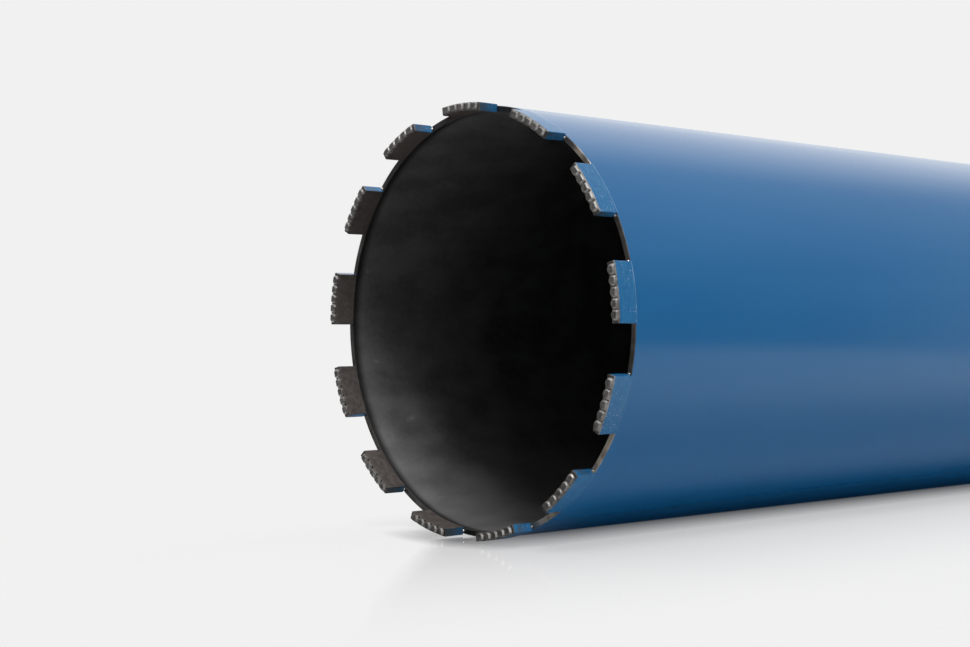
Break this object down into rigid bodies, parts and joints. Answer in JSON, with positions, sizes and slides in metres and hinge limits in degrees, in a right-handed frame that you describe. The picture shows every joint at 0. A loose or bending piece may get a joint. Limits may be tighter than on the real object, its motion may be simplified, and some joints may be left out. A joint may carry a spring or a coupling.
{
  "type": "diamond core bit",
  "caption": "Tubular wet core bit with curved diamond segments on its open end and a threaded spindle hub on its closed end.",
  "frame": {"origin": "on the bit's axis, in the plane of the crown's button tips", "axes": "+Z along the axis from the crown to the hub; segment_01 is centred on +X and the count goes towards +Y"},
  "size_m": [0.1818, 0.182, 0.501],
  "materials": {
    "tube_paint": "satin blue paint outside, bare dark bore",
    "segment_metal": "sintered metal, worn, overspray on the outer face",
    "plate_paint": "satin blue paint",
    "hub_steel": "turned, bare"
  },
  "bodies": {
    "root": {"barrel_tube": "tube_paint", "segment_01": "segment_metal", "segment_02": "segment_metal", "segment_03": "segment_metal", "segment_04": "segment_metal", "segment_05": "segment_metal", "segment_06": "segment_metal", "segment_07": "segment_metal", "segment_08": "segment_metal", "segment_09": "segment_metal", "segment_10": "segment_metal", "segment_11": "segment_metal", "segment_12": "segment_metal", "segment_13": "segment_metal", "end_plate": "plate_paint", "end_plate_weld": "plate_paint", "spindle_hub": "hub_steel", "hub_weld": "plate_paint"}
  },
  "joints": []
}
